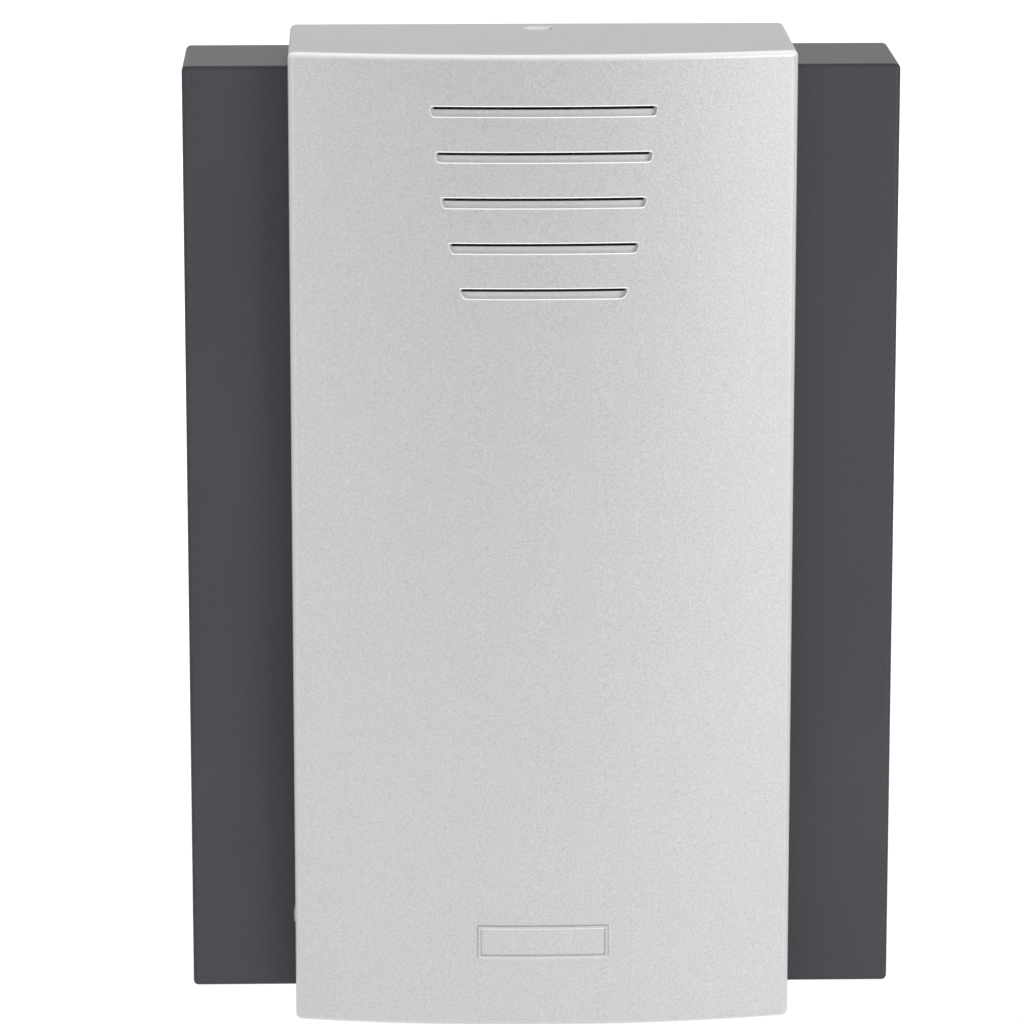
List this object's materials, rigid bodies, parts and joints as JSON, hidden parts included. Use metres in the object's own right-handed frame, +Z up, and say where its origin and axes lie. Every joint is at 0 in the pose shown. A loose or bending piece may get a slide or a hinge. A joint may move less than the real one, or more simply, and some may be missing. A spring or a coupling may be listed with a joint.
{
  "type": "door chime",
  "caption": "Wall-mounted two-tone electromechanical door chime: bowed silver cover with sound slots over a dark winged housing, solenoid striker and tone plates inside.",
  "frame": {"origin": "centre of the rear plane, on the base plate's flat rear face", "axes": "+Y into the wall, +Z up, +X to the right as seen by a visitor facing the chime"},
  "size_m": [0.1436, 0.0459, 0.2],
  "materials": {
    "silver_paint": "ABS with fine metallic silver paint, orange-peel texture",
    "dark_abs": "dark grey fine-textured ABS",
    "white_abs": "natural white moulded ABS",
    "zinc_steel": "zinc-plated steel",
    "tone_steel": "ground and plated steel",
    "spring_steel": "drawn wire",
    "enamelled_copper": "enamelled copper wire",
    "coil_tape": "polyester insulating tape",
    "natural_nylon": "natural nylon",
    "black_rubber": "soft moulded rubber",
    "brass": "machined brass",
    "lead_insulation": "flexible PVC sleeving"
  },
  "bodies": {
    "base": {"base_plate": "white_abs", "housing": "dark_abs", "solenoid_yoke": "zinc_steel", "yoke_strap": "zinc_steel", "coil_bobbin": "natural_nylon", "coil_winding": "enamelled_copper", "coil_tape": "coil_tape", "return_spring": "spring_steel", "terminal_block": "white_abs", "terminal_clamp_left": "brass", "terminal_clamp_right": "brass", "block_screw": "zinc_steel", "solenoid_screw_upper": "zinc_steel", "solenoid_screw_lower": "zinc_steel", "housing_screw_upper": "zinc_steel", "housing_screw_lower": "zinc_steel", "coil_lead_left": "lead_insulation", "coil_lead_right": "lead_insulation"},
    "cover": {"front_cover": "silver_paint"},
    "latch": {"latch_tongue": "white_abs"},
    "plunger": {"plunger_core": "zinc_steel", "striker_left": "natural_nylon", "striker_right": "natural_nylon"},
    "tone_left": {"tone_plate_left": "tone_steel", "grommet_left_upper": "black_rubber", "grommet_left_lower": "black_rubber"},
    "tone_right": {"tone_plate_right": "tone_steel", "grommet_right_upper": "black_rubber", "grommet_right_lower": "black_rubber"},
    "terminal_left": {"terminal_screw_left": "zinc_steel"},
    "terminal_right": {"terminal_screw_right": "zinc_steel"}
  },
  "joints": [
    {"name": "cover_pull", "type": "slide", "parent": "base", "child": "cover", "axis": [0, -1, 0], "range_m": [0, 0.08]},
    {"name": "latch_press", "type": "hinge", "parent": "base", "child": "latch", "pos_m": [0, -0.0025, 0.0946], "axis": [1, 0, 0], "range_deg": [0, 11], "stiffness_Nm_per_rad": 0.01},
    {"name": "plunger_stroke", "type": "slide", "parent": "base", "child": "plunger", "axis": [1, 0, 0], "range_m": [-0.0033, 0.0033], "stiffness_N_per_m": 60, "deforming": ["return_spring"]},
    {"name": "tone_left_float", "type": "slide", "parent": "base", "child": "tone_left", "axis": [1, 0, 0], "range_m": [-0.0004, 0.0004], "stiffness_N_per_m": 2000},
    {"name": "tone_right_float", "type": "slide", "parent": "base", "child": "tone_right", "axis": [1, 0, 0], "range_m": [-0.0004, 0.0004], "stiffness_N_per_m": 2000},
    {"name": "terminal_left_turn", "type": "hinge", "parent": "base", "child": "terminal_left", "pos_m": [-0.0065, -0.0111, -0.048], "axis": [0, -1, 0], "continuous": true},
    {"name": "terminal_right_turn", "type": "hinge", "parent": "base", "child": "terminal_right", "pos_m": [0.0065, -0.0111, -0.048], "axis": [0, -1, 0], "continuous": true}
  ]
}
